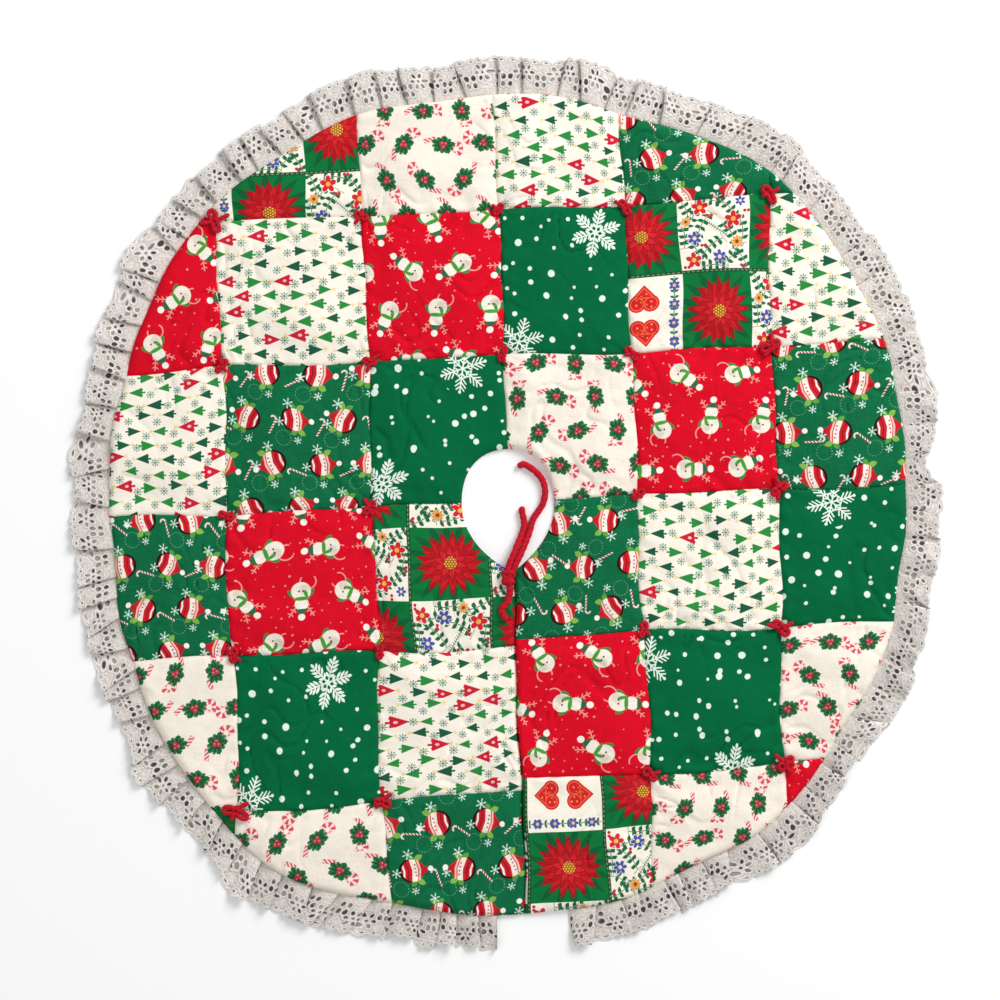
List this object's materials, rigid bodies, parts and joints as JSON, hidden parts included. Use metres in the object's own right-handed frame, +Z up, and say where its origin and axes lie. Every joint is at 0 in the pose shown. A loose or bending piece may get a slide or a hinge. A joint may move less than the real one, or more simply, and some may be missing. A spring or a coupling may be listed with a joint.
{
  "type": "tree skirt",
  "caption": "Round tied patchwork tree skirt with a gathered eyelet lace edge, an egg-shaped trunk hole, a front slit and yarn closure ties.",
  "frame": {"origin": "middle of the skirt's box on the underside that lies on the floor", "axes": "+Z up out of the patchwork face; -Y along the slit to the front; +X to the right seen from above with the slit towards the viewer"},
  "size_m": [0.9242, 0.9439, 0.0185],
  "materials": {
    "lining": "matte",
    "batting": "matte",
    "lace": "matte",
    "yarn": "matte",
    "print_trees": "matte",
    "print_bauble": "matte",
    "print_red": "matte",
    "print_snow": "matte",
    "print_holly": "matte",
    "print_folk": "matte"
  },
  "bodies": {
    "root": {"batting": "batting", "closure_knot": "yarn", "lace": "lace", "lining": "lining", "patch_a2_folk": "print_folk", "patch_a3_holly": "print_holly", "patch_a4_trees": "print_trees", "patch_a5_bauble": "print_bauble", "patch_a6_snow": "print_snow", "patch_b1_red": "print_red", "patch_b2_trees": "print_trees", "patch_b3_red": "print_red", "patch_b4_snow": "print_snow", "patch_b5_folk": "print_folk", "patch_b6_trees": "print_trees", "patch_c1_trees": "print_trees", "patch_c2_bauble": "print_bauble", "patch_c3_snow": "print_snow", "patch_c4_holly": "print_holly", "patch_c5_red": "print_red", "patch_c6_bauble": "print_bauble", "patch_d1_bauble": "print_bauble", "patch_d2_red": "print_red", "patch_d3_folk": "print_folk", "patch_d4_bauble": "print_bauble", "patch_d5_trees": "print_trees", "patch_d6_snow": "print_snow", "patch_e1_holly": "print_holly", "patch_e2_snow": "print_snow", "patch_e3_trees": "print_trees", "patch_e4_red": "print_red", "patch_e5_snow": "print_snow", "patch_e6_holly": "print_holly", "patch_f1_folk": "print_folk", "patch_f2_holly": "print_holly", "patch_f3_bauble": "print_bauble", "patch_f4_folk": "print_folk", "patch_f5_holly": "print_holly", "patch_f6_red": "print_red", "tie_cord_long": "yarn", "tie_cord_sewn": "yarn", "tie_cord_short": "yarn"},
    "left_flap": {"batting_left_flap": "batting", "lace_left_flap": "lace", "lining_left_flap": "lining", "patch_e3_trees_left_flap": "print_trees", "patch_f2_holly_left_flap": "print_holly", "patch_f3_bauble_left_flap": "print_bauble"},
    "right_flap": {"batting_right_flap": "batting", "lace_right_flap": "lace", "lining_right_flap": "lining", "patch_e4_red_right_flap": "print_red", "patch_f4_folk_right_flap": "print_folk", "patch_f5_holly_right_flap": "print_holly"}
  },
  "joints": [
    {"name": "left_corner_fold", "type": "hinge", "parent": "root", "child": "left_flap", "pos_m": [0.002, -0.148, 0.009], "axis": [-0.6157, -0.788, 0], "range_deg": [0, 110]},
    {"name": "right_corner_fold", "type": "hinge", "parent": "root", "child": "right_flap", "pos_m": [0.002, -0.148, 0.009], "axis": [-0.6157, 0.788, 0], "range_deg": [0, 110]}
  ]
}
